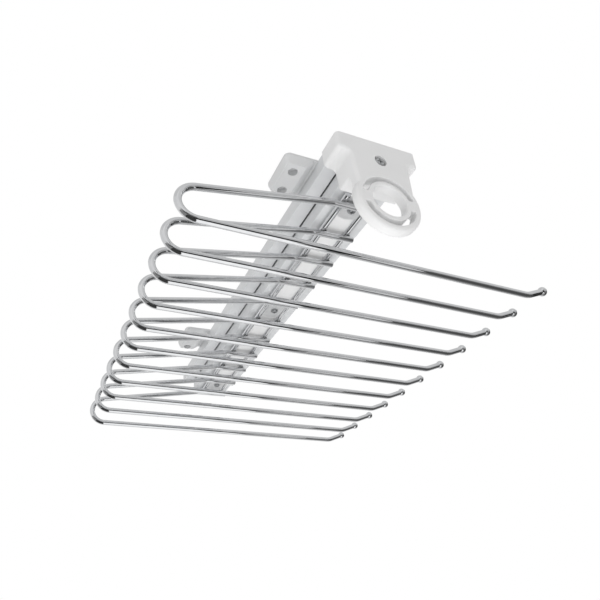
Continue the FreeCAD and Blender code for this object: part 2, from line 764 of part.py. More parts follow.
def carriage():
    """Hollow aluminium profile under the slide, with a screw port on a rib along its middle."""
    body = new_body("carriage_shell")
    sketch = new_sketch(body, "XZ_Plane", offset=-cap_rear)
    trace(sketch, rectangle(-carriage_side, carriage_side, carriage_underside, carriage_top,
                            d.edge_round))
    pad(body, sketch, carriage_rear - cap_rear, backwards=True)
    inner = carriage_side - d.carriage_wall
    length = carriage_rear - cap_rear
    cell = box((-inner, inner), (cap_rear, carriage_rear),
               (carriage_underside + d.carriage_wall, carriage_top - d.carriage_wall))
    rib = box((-d.port_rib / 2, d.port_rib / 2), (cap_rear, carriage_rear),
              (carriage_underside + d.carriage_wall, carriage_top - d.carriage_wall))
    port = cylinder("y", (0, cap_rear, port_centre), d.port_radius, length)
    bore = cylinder("y", (0, cap_rear, port_centre), d.port_bore, length)
    holes = [cylinder("z", (0, y, carriage_underside), d.ladder_screw_radius, d.ladder_screw_depth)
             for y in ladder_screw_places]
    holes += [cylinder("z", (x, y, carriage_top - d.carriage_wall), d.carriage_rivet_radius,
                       d.carriage_wall) for x, y in carriage_rivet_places]
    name_subpart("carriage_profile", cut(cut(body, cut(cell, rib, port)), bore, *holes))


def carriage_rivets():
    """Blind rivets set from inside the slide's inner member into the carriage's top wall."""
    rivets = []
    for x, y in carriage_rivet_places:
        low, high = carriage_top - d.carriage_wall, carriage_top + d.sheet_thickness
        shank = cylinder("z", (x, y, low), d.carriage_rivet_radius, high - low)
        head = cone((x, y, high), d.carriage_rivet_head, d.carriage_rivet_radius, d.carriage_rivet_rise)
        foot = cone((x, y, low - d.carriage_rivet_rise), d.carriage_rivet_radius,
                    d.carriage_rivet_head, d.carriage_rivet_rise)
        rivets.append(join(shank, head, foot))
    name_subpart("carriage_rivets", group(*rivets))


def carriage_rear_cap():
    """Moulded cap on the rear end of the carriage, with a plug in each cell."""
    body = new_body("carriage_end")
    sketch = new_sketch(body, "XZ_Plane", offset=-carriage_rear)
    trace(sketch, rectangle(-carriage_side, carriage_side, carriage_underside, carriage_top,
                            d.edge_round))
    pad(body, sketch, d.end_plate, backwards=True)
    plugs = new_sketch(body, "XZ_Plane", offset=-carriage_rear)
    for outline in cell_plugs(d.plug_clearance):
        trace(plugs, outline)
    pad(body, plugs, d.plug_length)
    name_subpart("carriage_rear_cap", body)


def cell_plugs(gap):
    """Outlines that fit the carriage's two cells, beside the screw port."""
    near, far = d.port_radius + gap, carriage_side - d.carriage_wall - gap
    low = carriage_underside + d.carriage_wall + gap
    high = carriage_top - d.carriage_wall - gap
    return [rectangle(near, far, low, high, d.edge_round),
            rectangle(-far, -near, low, high, d.edge_round)]


def rod_bed():
    """White plastic strip under the carriage that cradles the two rods along its edges."""
    strip = box((-rod_place, rod_place), (first_hanger - d.rod_overhang, last_hanger + d.rod_overhang),
                (bed_underside, carriage_underside))
    holes = [cylinder("z", (0, y, bed_underside), d.ladder_screw_radius + d.screw_clearance,
                      d.bed_thickness) for y in ladder_screw_places]
    name_subpart("rod_bed", cut(strip, *rod_tools(), *holes))


# ---------------------------------------------------------------- chromed ladder and hangers

def rod_tools():
    """The space that the two rods take."""
    start, length = first_hanger - d.rod_overhang, last_hanger - first_hanger + d.rod_overhang * 2
    return [cylinder("y", (x, start, rod_height), d.wire_radius, length) for x in (-rod_place, rod_place)]


def ladder_rod(label, x):
    """Straight wire with rounded cut ends."""
    body = new_body("rod")
    sketch = new_sketch(body, "XZ_Plane", offset=d.rod_overhang - first_hanger)
    circle(sketch, x, rod_height, d.wire_radius)
    pad(body, sketch, last_hanger - first_hanger + d.rod_overhang * 2, backwards=True)
    fillet(body, d.wire_round, lambda edge: isinstance(edge.Curve, Part.Circle))
    name_subpart(label, body)


def hanger_path():
    """Corners and arcs of a hanger's wire, from the ladder's end round the loop to the tip.

    The wire leaves the ladder to the left, slopes down to the loop, and returns as the long
    lower leg, whose tip turns up."""
    end = (rod_place + d.wire_radius + d.hanger_overhang, leg_height)
    shoulder = (-rod_place - d.shoulder_place, leg_height)
    slope, droop, rise = d.top_leg_slope, d.low_leg_slope, d.tip_slope
    slope_start = (shoulder[0] - d.shoulder_bend * sine(slope),
                   leg_height - d.shoulder_bend + d.shoulder_bend * cosine(slope),
                   shoulder[0], leg_height - d.shoulder_bend, d.shoulder_bend)
    loop_x = -d.loop_place
    loop_start_x = loop_x - d.loop_radius * sine(slope)
    run = slope_start[0] - loop_start_x
    loop_start = (loop_start_x, slope_start[1] - run * sine(slope) / cosine(slope))
    loop_z = loop_start[1] - d.loop_radius * cosine(slope)
    far_left = (loop_x - d.loop_radius, loop_z, loop_x, loop_z, d.loop_radius)
    loop_end = (loop_x - d.loop_radius * sine(droop), loop_z - d.loop_radius * cosine(droop),
                loop_x, loop_z, d.loop_radius)
    bend_end_x = d.tip_place - d.tip_straight * cosine(rise)
    bend_x = bend_end_x - d.tip_bend * (sine(rise) + sine(droop))
    bend_z = loop_end[1] - (bend_x - loop_end[0]) * sine(droop) / cosine(droop)
    centre = (bend_x + d.tip_bend * sine(droop), bend_z + d.tip_bend * cosine(droop))
    bend_end = (bend_end_x, centre[1] - d.tip_bend * cosine(rise), *centre, d.tip_bend)
    tip = (d.tip_place, bend_end[1] + d.tip_straight * sine(rise))
    return [end, shoulder, slope_start, loop_start, far_left, loop_end, (bend_x, bend_z), bend_end, tip]


def hanger(label, y):
    """One bent wire with a ball on its tip, notched where it is welded under the two rods."""
    path = hanger_path()
    body = new_body("hanger")
    spine = new_sketch(body, "XZ_Plane")
    trace(spine, path, closed=False)
    section = new_sketch(body, "YZ_Plane", offset=path[0][0])
    circle(section, 0, path[0][1], d.wire_radius)
    doc.recompute()
    wire = body.newObject("PartDesign::AdditivePipe", "wire")
    wire.Profile = section
    wire.Spine = spine
    body.Tip = wire
    doc.recompute()
    tip = body.newObject("PartDesign::AdditiveSphere", "tip")
    bind(tip, "Radius", d.tip_ball_radius)
    place_in_body(tip, path[-1][0], path[-1][1])
    body.Tip = tip
    doc.recompute()
    notches = new_sketch(body, "XZ_Plane", offset=-d.wire_radius * 2)
    for x in (-rod_place, rod_place):
        circle(notches, x, rod_height, d.wire_radius)
    pocket(body, notches, d.wire_radius * 4, backwards=True)
    place(body, y=y)
    name_subpart(label, body)


def place_in_body(primitive, x, z):
    for feature in primitive.getParentGeoFeatureGroup().Origin.OriginFeatures:
        if feature.Role == "XY_Plane":
            primitive.AttachmentSupport = [(feature, "")]
    primitive.MapMode = "FlatFace"
    bind(primitive, ".AttachmentOffset.Base.x", x)
    bind(primitive, ".AttachmentOffset.Base.z", z)


def screw_tab(label, centre, screw_y):
    """Flat plate welded between the rods, with bowed ends and a hole for the ladder screw."""
    body = new_body("tab")
    half, side = d.tab_length / 2, rod_place
    sagitta = d.tab_bow - root(d.tab_bow * d.tab_bow - side * side)
    sketch = new_sketch(body, "XY_Plane", offset=tab_underside)
    front, rear = centre - half, centre + half
    trace(sketch, [
        (-side, front + sagitta),
        (side, front + sagitta, 0, front + d.tab_bow, d.tab_bow),
        (side, rear - sagitta),
        (-side, rear - sagitta, 0, rear - d.tab_bow, d.tab_bow),
    ])
    circle(sketch, 0, screw_y, d.ladder_screw_radius + d.screw_clearance)
    pad(body, sketch, d.tab_thickness)
    name_subpart(label, cut(body, *rod_tools()))


def ladder_screws():
    """Three pan-head screws through tabs and bed, which cut their thread in the carriage."""
    shank_end = carriage_underside + d.ladder_screw_depth
    screws = []
    for y in ladder_screw_places:
        shank = cylinder("z", (0, y, tab_underside), d.ladder_screw_radius, shank_end - tab_underside)
        screws.append(join(shank, pan_head("z", (0, y, tab_underside), d.ladder_head_radius,
                                           d.ladder_head_height)))
    name_subpart("ladder_screws", group(*screws))


def pan_head(axis, seat, radius, height):
    """Low domed head outside its seat: the part of a flattened ball in front of the seat."""
    x, y, z = seat
    reach = (radius * radius + height * height) / (height * 2)
    if axis == "z":
        dome = ball((x, y, z - height + reach), reach)
        space = cylinder("z", (x, y, z - height), radius, height)
    else:
        dome = ball((x, y - height + reach, z), reach)
        space = cylinder("y", (x, y - height, z), radius, height)
    head = doc.addObject("Part::Common", "head")
    head.Base = dome
    head.Tool = space
    return head


# ---------------------------------------------------------------- front cap with ring handle
# The cap is built with its rear face in its own XZ plane.  The hollow, the corner and the
# rounded edge of a wing keep within the wing's reach past the neck.

wing_reach = (d.cap_width - d.neck_width) / 2
wing_share = smaller(1, (wing_reach - FLAT_ROOM) / (d.wing_cove + d.cap_corner))
wing_cove = d.wing_cove * wing_share
wing_corner = d.cap_corner * wing_share
front_round = smaller(d.cap_front_round, wing_corner - ROUND_ROOM)


def front_cap():
    """One white moulding: two wings that hide the rail, a neck that hides the ladder's front,
    and a plate that ends in a ring with a finger hole and two arc slots."""
    body = new_body("cap")
    cap_top = -d.cap_shelf_gap
    wing_low = cap_top - d.cap_wing_height
    cap_front = -d.cap_depth
    plate_rear = cap_front + d.tongue_plate
    ring_z = cap_top - d.ring_drop
    neck_low = leg_height - d.wire_radius - d.neck_end
    sketch = new_sketch(body, "XZ_Plane")
    trace(sketch, cap_outline(cap_top, wing_low, ring_z))
    pad(body, sketch, d.cap_depth)
    cove_y, cove_z = plate_rear + d.cove_radius, neck_low - d.cove_radius
    behind, below = d.cut_margin, ring_z - d.ring_radius - d.cut_margin
    back = new_sketch(body, "YZ_Plane")
    trace(back, [(behind, neck_low), (cove_y, neck_low),
                 (plate_rear, cove_z, cove_y, cove_z, d.cove_radius),
                 (plate_rear, below), (behind, below)])
    pocket(body, back, d.neck_width + d.cut_margin * 2, side="Symmetric")
    fillet(body, front_round, lambda edge: lies_at(edge, y=cap_front)
           and not lies_at(edge, z=cap_top))
    fillet(body, d.ring_round, lambda edge: lies_at(edge, y=plate_rear)
           and not lies_at(edge, z=neck_low - d.cove_radius))
    slots_rear = plate_rear + d.cove_radius
    hole = new_sketch(body, "XZ_Plane", offset=-slots_rear)
    circle(hole, 0, ring_z, d.ring_hole)
    spoke = d.spoke_width / 2
    outer = root(d.slot_outer * d.slot_outer - spoke * spoke)
    inner = root(d.slot_inner * d.slot_inner - spoke * spoke)
    for side in (1, -1):
        near, outer_peak, inner_peak = (ring_z + size * side for size in
                                        (spoke, d.slot_outer, d.slot_inner))
        trace(hole, [(outer, near), (0, outer_peak, 0, ring_z, d.slot_outer),
                     (-outer, near, 0, ring_z, d.slot_outer), (-inner, near),
                     (0, inner_peak, 0, ring_z, d.slot_inner), (inner, near, 0, ring_z, d.slot_inner)])
    pocket(body, hole, d.tongue_plate + d.cove_radius, backwards=True)
    centre = FreeCAD.Vector(0, 0, ring_z.value)
    rim = d.ring_radius.value - front_round.value - EDGE_ROOM
    hole_edge = d.ring_hole.value + EDGE_ROOM
    fillet(body, d.slot_corner, lambda edge: runs_along_y(edge)
           and hole_edge < off_axis(edge, centre) < rim)
    fillet(body, d.hole_round, lambda edge: lies_at(edge, y=cap_front) and off_axis(edge, centre) < rim)
    fillet(body, d.hole_round, lambda edge: lies_at(edge, y=plate_rear)
           and off_axis(edge, centre) < hole_edge)
    recess = new_sketch(body, "XZ_Plane", offset=-cap_front)
    circle(recess, 0, port_centre, d.cap_bore_radius)
    pocket(body, recess, d.cap_bore_depth)
    shank = new_sketch(body, "XZ_Plane", offset=-cap_front)
    circle(shank, 0, port_centre, d.cap_screw_radius + d.screw_clearance)
    pocket(body, shank, d.cap_depth)
    cores = new_sketch(body, "XZ_Plane")
    core_low = wing_low + d.cap_wall
    side_near, side_far = d.neck_width / 2, d.cap_width / 2 - wing_corner
    for outline in (rectangle(side_near, side_far, core_low, cap_top - d.cap_wall, d.edge_round),
                    rectangle(-side_far, -side_near, core_low, cap_top - d.cap_wall, d.edge_round),
                    rectangle(-carriage_side, carriage_side, carriage_top + d.carriage_wall,
                              cap_top - d.cap_wall, d.edge_round)):
        trace(cores, outline)
    pocket(body, cores, d.cap_core_depth, backwards=True)
    pegs = new_sketch(body, "XZ_Plane")
    for outline in cell_plugs(d.peg_clearance):
        trace(pegs, outline)
    pad(body, pegs, d.peg_length, backwards=True)
    place(body, y=cap_rear)
    name_subpart("front_cap", body)


def cap_outline(cap_top, wing_low, ring_z):
    """The cap from the front.  The neck's sides lean in from a hollow under each wing to the
    waist, where the ring takes over."""
    wide, half, waist = d.cap_width / 2, d.neck_width / 2, d.waist_width / 2
    waist_z = ring_z + root(d.ring_radius * d.ring_radius - waist * waist)
    side = root((half - waist) * (half - waist) + (wing_low - waist_z) * (wing_low - waist_z))
    lean, fall = (half - waist) / side, (wing_low - waist_z) / side
    cove, corner = wing_cove, wing_corner
    tangent = cove * (1 - lean) / fall
    cove_x, cove_z = half + tangent, wing_low - cove
    neck_x, neck_z = half - lean * tangent, wing_low - fall * tangent
    edge_x, edge_z = wide - corner, wing_low + corner
    return [
        (wide, cap_top), (-wide, cap_top), (-wide, edge_z),
        (-edge_x, wing_low, -edge_x, edge_z, corner),
        (-cove_x, wing_low), (-neck_x, neck_z, -cove_x, cove_z, cove), (-waist, waist_z),
        (0, ring_z - d.ring_radius, 0, ring_z, d.ring_radius),
        (waist, waist_z, 0, ring_z, d.ring_radius),
        (neck_x, neck_z), (cove_x, wing_low, cove_x, cove_z, cove), (edge_x, wing_low),
        (wide, edge_z, edge_x, edge_z, corner),
    ]


def lies_at(edge, **planes):
    """Whether an edge lies in the planes at the given Y and Z."""
    box = edge.BoundBox
    limits = {"y": (box.YMin, box.YMax), "z": (box.ZMin, box.ZMax)}
    return all(abs(limit - place.value) < NEARLY for axis, place in planes.items()
               for limit in limits[axis])


def runs_along_y(edge):
    reach = edge.BoundBox
    return reach.YLength > NEARLY and max(reach.XLength, reach.ZLength) < NEARLY


def off_axis(edge, centre):
    """An edge's largest distance from the line along Y through the centre."""
    return max(math.hypot(point.x - centre.x, point.z - centre.z)
               for point in edge.discretize(EDGE_SAMPLES))


def front_cap_screw():
    """Self-tapping pan-head screw through the cap into the carriage's port."""
    seat = cap_rear - d.cap_depth + d.cap_bore_depth
    shank = cylinder("y", (0, seat, port_centre), d.cap_screw_radius, d.cap_screw_length)
    head = pan_head("y", (0, seat, port_centre), d.cap_head_radius, d.cap_head_height)
    name_subpart("front_cap_screw", join(shank, head))


# ---------------------------------------------------------------- the rack

fixed_rail()
mounting_ear("front_mounting_ear", ear_places[0])
mounting_ear("rear_mounting_ear", ear_places[1])
ear_screws()
rail_rear_cap()
slide_outer()
slide_middle()
slide_inner()
ball_cage("outer", outer_row_x, outer_row_z, reach_up=True)
ball_cage("inner", inner_row_x, inner_row_z, reach_up=False)
slide_rivets()
closing_buffer()
carriage()
carriage_rivets()
carriage_rear_cap()
rod_bed()
ladder_rod("left_ladder_rod", -rod_place)
ladder_rod("right_ladder_rod", rod_place)
for number in range(int(d.hanger_count.value)):
    hanger(f"hanger_{number + 1:02d}", first_hanger + number * hanger_pitch)
for (label, centre), screw_y in zip(tab_places.items(), ladder_screw_places):
    screw_tab(f"{label}_screw_tab", centre, screw_y)
ladder_screws()
front_cap()
front_cap_screw()
doc.recompute()

for thing in doc.Objects:
    if "Invalid" in thing.State or "Error" in thing.State:
        raise RuntimeError(f"{thing.Name} ({thing.Label}) failed: {thing.State}")
for subpart in subparts:
    shape = subpart.Shape
    if shape.isNull() or not shape.isValid():
        raise RuntimeError(f"{subpart.Label} has no valid shape")
for subpart in subparts:
    subpart.Shape.exportStep(f"parts/{subpart.Label}.step")
print(len(subparts), "sub-parts written")
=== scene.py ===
import math

import bpy
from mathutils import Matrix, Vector


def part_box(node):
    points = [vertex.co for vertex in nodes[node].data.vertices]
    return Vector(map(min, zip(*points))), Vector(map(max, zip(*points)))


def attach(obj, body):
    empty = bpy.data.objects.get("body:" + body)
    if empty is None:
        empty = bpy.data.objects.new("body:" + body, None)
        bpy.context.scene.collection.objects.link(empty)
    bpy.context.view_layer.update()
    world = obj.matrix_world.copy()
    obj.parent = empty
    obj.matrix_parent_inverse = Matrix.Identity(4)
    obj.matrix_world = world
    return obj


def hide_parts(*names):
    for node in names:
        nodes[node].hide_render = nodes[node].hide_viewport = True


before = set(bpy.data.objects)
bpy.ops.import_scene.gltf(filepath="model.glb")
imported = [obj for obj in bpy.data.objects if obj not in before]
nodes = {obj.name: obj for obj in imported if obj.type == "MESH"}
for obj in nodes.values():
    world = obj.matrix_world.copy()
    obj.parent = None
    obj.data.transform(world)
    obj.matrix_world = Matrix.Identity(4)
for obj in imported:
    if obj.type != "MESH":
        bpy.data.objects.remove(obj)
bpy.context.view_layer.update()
bpy.context.scene.view_settings.view_transform = "Standard"


# ---- Fixed rail and carriage profile
# Two aluminium extrusions with one satin light grey coat.  The rail is a channel, open below,
# that screws up against the shelf; the carriage is a flat box that runs out between its lips.
# Their die lines run from front to rear.

NOISE_LOW = 0.3
NOISE_HIGH = 0.7


def new_finish(name, colour, roughness, metallic=0.0):
    """A material with its shader's plain values set; the caller adds the grain."""
    finish = bpy.data.materials.new(name)
    finish.use_nodes = True
    shader = finish.node_tree.nodes["Principled BSDF"]
    shader.inputs["Base Color"].default_value = (*colour, 1)
    shader.inputs["Roughness"].default_value = roughness
    shader.inputs["Metallic"].default_value = metallic
    return finish, finish.node_tree.links, shader


def grain(finish, scale, stretch=(1, 1, 1), detail=4.0):
    """A noise on the piece's own coordinates, drawn out along one axis by a stretch below 1."""
    tree = finish.node_tree
    place = tree.nodes.new("ShaderNodeTexCoord")
    mapping = tree.nodes.new("ShaderNodeMapping")
    mapping.inputs["Scale"].default_value = stretch
    noise = tree.nodes.new("ShaderNodeTexNoise")
    noise.inputs["Scale"].default_value = scale
    noise.inputs["Detail"].default_value = detail
    tree.links.new(place.outputs["Object"], mapping.inputs["Vector"])
    tree.links.new(mapping.outputs["Vector"], noise.inputs["Vector"])
    return noise.outputs["Fac"]


def spread(finish, factor, low, high):
    """The factor's middle range drawn out between two values."""
    tree = finish.node_tree
    span = tree.nodes.new("ShaderNodeMapRange")
    span.inputs["From Min"].default_value = NOISE_LOW
    span.inputs["From Max"].default_value = NOISE_HIGH
    span.inputs["To Min"].default_value = low
    span.inputs["To Max"].default_value = high
    tree.links.new(factor, span.inputs["Value"])
    return span.outputs["Result"]


def tint(finish, factor, dark, light):
    """A colour between two, by the factor's middle range."""
    tree = finish.node_tree
    ramp = tree.nodes.new("ShaderNodeValToRGB")
    start, end = ramp.color_ramp.elements
    start.position = NOISE_LOW
    start.color = (*dark, 1)
    end.position = NOISE_HIGH
    end.color = (*light, 1)
    tree.links.new(factor, ramp.inputs["Fac"])
    return ramp.outputs["Color"]


def relief(finish, height, depth, strength, normal=None):
    """A bump of the given depth in metres, on top of another one if there is one."""
    tree = finish.node_tree
    bump = tree.nodes.new("ShaderNodeBump")
    bump.inputs["Distance"].default_value = depth
    bump.inputs["Strength"].default_value = strength
    tree.links.new(height, bump.inputs["Height"])
    if normal is not None:
        tree.links.new(normal, bump.inputs["Normal"])
    return bump.outputs["Normal"]


def wear(node, finish):
    """The finish takes every material slot of the node."""
    mesh = nodes[node].data
    mesh.materials.clear()
    mesh.materials.append(finish)


coat, links, shader = new_finish("light_grey_coat", (0.67, 0.68, 0.69), 0.42)
die_lines = grain(coat, 420, stretch=(1, 0.012, 1))
cloud = grain(coat, 22, detail=2)
orange_peel = grain(coat, 900, detail=2)
links.new(tint(coat, cloud, (0.65, 0.66, 0.67), (0.69, 0.697, 0.705)), shader.inputs["Base Color"])
links.new(spread(coat, die_lines, 0.36, 0.48), shader.inputs["Roughness"])
fine = relief(coat, orange_peel, 0.00002, 0.25)
links.new(relief(coat, die_lines, 0.00004, 0.35, fine), shader.inputs["Normal"])
for node in ("fixed_rail", "carriage_profile"):
    wear(node, coat)


# ---- Mounting ears and rear caps
# Light grey moulded plastic.  The two ears are cored from above and take the shelf screws; the
# caps plug the rear ends of the rail and of the carriage.  The mould leaves a fine spark grain.

grey_plastic, links, shader = new_finish("grey_moulding", (0.63, 0.635, 0.64), 0.5)
spark = grain(grey_plastic, 1400, detail=6)
flow = grain(grey_plastic, 30, detail=2)
links.new(tint(grey_plastic, flow, (0.61, 0.615, 0.62), (0.65, 0.655, 0.66)), shader.inputs["Base Color"])
links.new(spread(grey_plastic, spark, 0.44, 0.56), shader.inputs["Roughness"])
links.new(relief(grey_plastic, spark, 0.00003, 0.3), shader.inputs["Normal"])
for node in ("front_mounting_ear", "rear_mounting_ear", "rail_rear_cap", "carriage_rear_cap"):
    wear(node, grey_plastic)


# ---- Ball slide
# Three roll-formed steel members with two trains of balls in stamped cages, laid flat between
# rail and carriage.  The strip is bright zinc plated, so its rolling marks show under the plate.

zinc, links, shader = new_finish("zinc_plate", (0.63, 0.64, 0.66), 0.34, metallic=1.0)
rolling = grain(zinc, 600, stretch=(1, 0.02, 1))
spangle = grain(zinc, 70, detail=3)
links.new(tint(zinc, spangle, (0.58, 0.59, 0.615), (0.68, 0.685, 0.70)), shader.inputs["Base Color"])
links.new(spread(zinc, rolling, 0.26, 0.42), shader.inputs["Roughness"])
links.new(relief(zinc, rolling, 0.00003, 0.4), shader.inputs["Normal"])
for node in ("slide_outer_member", "slide_middle_member", "slide_inner_member",
             "outer_ball_cage", "inner_ball_cage", "slide_rivets", "carriage_rivets"):
    wear(node, zinc)

rubber, links, shader = new_finish("black_rubber", (0.03, 0.03, 0.032), 0.75)
skin = grain(rubber, 800)
links.new(tint(rubber, skin, (0.024, 0.024, 0.026), (0.04, 0.04, 0.042)), shader.inputs["Base Color"])
links.new(spread(rubber, skin, 0.68, 0.84), shader.inputs["Roughness"])
links.new(relief(rubber, skin, 0.00005, 0.4), shader.inputs["Normal"])
wear("closing_buffer", rubber)


# ---- Ladder rods
# Two straight chromed wires that carry every hanger.  Their ends are cut and tumbled round
# before plating.  The plate is bright, with a faint ripple and a little haze.

WIRE_RADIUS = 0.003
WIRE_SIDES = 40
WIRE_END_ROUND = 0.0008
SMOOTH_BELOW = math.radians(35)
SAME_PLACE = 1e-6

chrome, links, shader = new_finish("chrome_plate", (0.74, 0.75, 0.765), 0.06, metallic=1.0)
haze = grain(chrome, 140, detail=5)
ripple = grain(chrome, 260, detail=2)
links.new(tint(chrome, haze, (0.71, 0.72, 0.735), (0.77, 0.775, 0.785)), shader.inputs["Base Color"])
links.new(spread(chrome, haze, 0.02, 0.045), shader.inputs["Roughness"])
links.new(relief(chrome, ripple, 0.00001, 0.15), shader.inputs["Normal"])
for node in ("outer_balls", "inner_balls"):
    wear(node, chrome)


def finish_piece(name, finish, body, slot, *replaced):
    """Settles the active object: place in its mesh, smooth faces, finish, body and CAD nodes."""
    piece = bpy.context.active_object
    piece.name = name
    piece.data.name = name
    bpy.ops.object.mode_set(mode="OBJECT")
    bpy.ops.object.transform_apply(location=True, rotation=True, scale=True)
    bpy.ops.object.shade_smooth_by_angle(angle=SMOOTH_BELOW)
    piece.data.materials.clear()
    piece.data.materials.append(finish)
    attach(piece, body)
    if replaced:
        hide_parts(*replaced)
    return piece


def pick_edges(piece, chosen):
    """In edit mode, selects the edges whose two ends satisfy the test."""
    bpy.ops.mesh.select_mode(type="EDGE")
    bpy.ops.mesh.select_all(action="DESELECT")
    bpy.ops.object.mode_set(mode="OBJECT")
    vertices = piece.data.vertices
    for edge in piece.data.edges:
        edge.select = all(chosen(vertices[index].co) for index in edge.vertices)
    bpy.ops.object.mode_set(mode="EDIT")


for node in ("left_ladder_rod", "right_ladder_rod"):
    low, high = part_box(node)
    bpy.ops.object.select_all(action="DESELECT")
    bpy.ops.mesh.primitive_cylinder_add(vertices=WIRE_SIDES, radius=WIRE_RADIUS, depth=high.y - low.y,
                                        location=(low + high) / 2, rotation=(math.radians(90), 0, 0))
    bpy.ops.object.transform_apply(location=True, rotation=True)
    rod = bpy.context.active_object
    bpy.ops.object.mode_set(mode="EDIT")
    for end in (low.y, high.y):
        pick_edges(rod, lambda point: abs(point.y - end) < SAME_PLACE)
        bpy.ops.mesh.bevel(offset=WIRE_END_ROUND, segments=4)
    finish_piece(f"{node}_wire", chrome, "carriage", "chrome", node)


# ---- Hangers
# Each is one piece of the same wire, cut, bent on a bench tool and headed to a ball at its tip.
# From the ladder the top leg slopes down to the loop at the left; the long lower leg comes back
# under the rail and turns up at the tip.  They are welded to the rods and chromed as one ladder.

TOP_LEG_END = 0.0185
SHOULDER = Vector((-0.020, 0, -0.0366))
SHOULDER_BEND = 0.025
TOP_LEG_SLOPE = math.radians(9.5)
LOOP_X = -0.139
LOOP_RADIUS = 0.0155
LOW_LEG_SLOPE = math.radians(1.15)
TIP_X = 0.1965
TIP_BEND = 0.022
TIP_SLOPE = math.radians(20)
TIP_STRAIGHT = 0.019
TIP_BALL = 0.0045
BALL_STEPS = 10
BALL_POLE_GAP = 0.35


def run_wire(length, angle):
    """Draws the selected ring out along the XZ plane, at an angle above +X."""
    step = (length * math.cos(angle), 0, length * math.sin(angle))
    bpy.ops.mesh.extrude_region_move(TRANSFORM_OT_translate={"value": step})


def bend_wire(centre, angle, steps):
    """Turns the selected ring round a bend's centre; a positive angle turns from +Z to +X."""
    bpy.ops.mesh.spin(steps=steps, angle=-angle, center=centre, axis=(0, 1, 0))


def bend_hanger():
    """One hanger in the plane y = 0, wire first and then the ball on its tip."""
    bpy.ops.object.select_all(action="DESELECT")
    bpy.ops.mesh.primitive_circle_add(vertices=WIRE_SIDES, radius=WIRE_RADIUS,
                                      location=(TOP_LEG_END, 0, SHOULDER.z),
                                      rotation=(0, math.radians(90), 0))
    bpy.ops.object.transform_apply(location=True, rotation=True)
    hanger = bpy.context.active_object
    bpy.ops.object.mode_set(mode="EDIT")
    bpy.ops.mesh.select_all(action="SELECT")
    run_wire(TOP_LEG_END - SHOULDER.x, math.pi)
    bend = Vector((SHOULDER.x, 0, SHOULDER.z - SHOULDER_BEND))
    bend_wire(bend, -TOP_LEG_SLOPE, steps=6)
    slope_start = bend + SHOULDER_BEND * Vector((-math.sin(TOP_LEG_SLOPE), 0, math.cos(TOP_LEG_SLOPE)))
    loop_start_x = LOOP_X - LOOP_RADIUS * math.sin(TOP_LEG_SLOPE)
    slope_run = (slope_start.x - loop_start_x) / math.cos(TOP_LEG_SLOPE)
    run_wire(slope_run, math.pi + TOP_LEG_SLOPE)
    loop_z = slope_start.z - slope_run * math.sin(TOP_LEG_SLOPE) - LOOP_RADIUS * math.cos(TOP_LEG_SLOPE)
    loop = Vector((LOOP_X, 0, loop_z))
    bend_wire(loop, TOP_LEG_SLOPE + LOW_LEG_SLOPE - math.pi, steps=36)
    low_start = loop - LOOP_RADIUS * Vector((math.sin(LOW_LEG_SLOPE), 0, math.cos(LOW_LEG_SLOPE)))
    turn_x = TIP_X - TIP_STRAIGHT * math.cos(TIP_SLOPE) - TIP_BEND * (
        math.sin(TIP_SLOPE) + math.sin(LOW_LEG_SLOPE))
    low_run = (turn_x - low_start.x) / math.cos(LOW_LEG_SLOPE)
    run_wire(low_run, -LOW_LEG_SLOPE)
    turn = low_start + low_run * Vector((math.cos(LOW_LEG_SLOPE), 0, -math.sin(LOW_LEG_SLOPE)))
    centre = turn + TIP_BEND * Vector((math.sin(LOW_LEG_SLOPE), 0, math.cos(LOW_LEG_SLOPE)))
    bend_wire(centre, -TIP_SLOPE - LOW_LEG_SLOPE, steps=8)
    neck = math.asin(WIRE_RADIUS / TIP_BALL)
    run_wire(TIP_STRAIGHT - TIP_BALL * math.cos(neck), TIP_SLOPE)
    tip = centre + TIP_BEND * Vector((math.sin(TIP_SLOPE), 0, -math.cos(TIP_SLOPE)))
    tip += TIP_STRAIGHT * Vector((math.cos(TIP_SLOPE), 0, math.sin(TIP_SLOPE)))
    here = neck
    for step in range(1, BALL_STEPS + 1):
        turned = neck + (math.pi - neck) * step / (BALL_STEPS + BALL_POLE_GAP)
        run_wire(TIP_BALL * (math.cos(here) - math.cos(turned)), TIP_SLOPE)
        grow = math.sin(turned) / math.sin(here)
        ring = tip - TIP_BALL * math.cos(turned) * Vector((math.cos(TIP_SLOPE), 0, math.sin(TIP_SLOPE)))
        bpy.ops.transform.resize(value=(grow, grow, grow), center_override=ring)
        here = turned
    bpy.ops.mesh.select_all(action="SELECT")
    bpy.ops.mesh.fill_holes(sides=0)
    bpy.ops.mesh.select_all(action="SELECT")
    bpy.ops.mesh.normals_make_consistent(inside=False)
    pick_edges(hanger, lambda point: abs(point.x - TOP_LEG_END) < SAME_PLACE
               and point.z > SHOULDER.z - 2 * WIRE_RADIUS)
    bpy.ops.mesh.bevel(offset=WIRE_END_ROUND, segments=4)
    bpy.ops.object.mode_set(mode="OBJECT")
    return hanger


def copy_to(pattern, place):
    """A copy of the pattern with its own mesh, moved and left active."""
    bpy.ops.object.select_all(action="DESELECT")
    pattern.select_set(True)
    bpy.context.view_layer.objects.active = pattern
    bpy.ops.object.duplicate(linked=False)
    bpy.ops.transform.translate(value=place)
    return bpy.context.active_object


hangers = sorted(node for node in nodes if node.startswith("hanger_"))
pattern = bend_hanger()
for node in hangers:
    low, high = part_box(node)
    copy_to(pattern, (0, (low.y + high.y) / 2, 0))
    finish_piece(f"{node}_wire", chrome, "carriage", "chrome", node)
bpy.data.objects.remove(pattern)


# ---- Welds
# Every hanger is resistance welded under both rods.  The two wires sink into each other a
# little, and the metal squeezed out stands round the joint as a low bead.  It is chromed with
# them, but stays rough and dark from the heat.

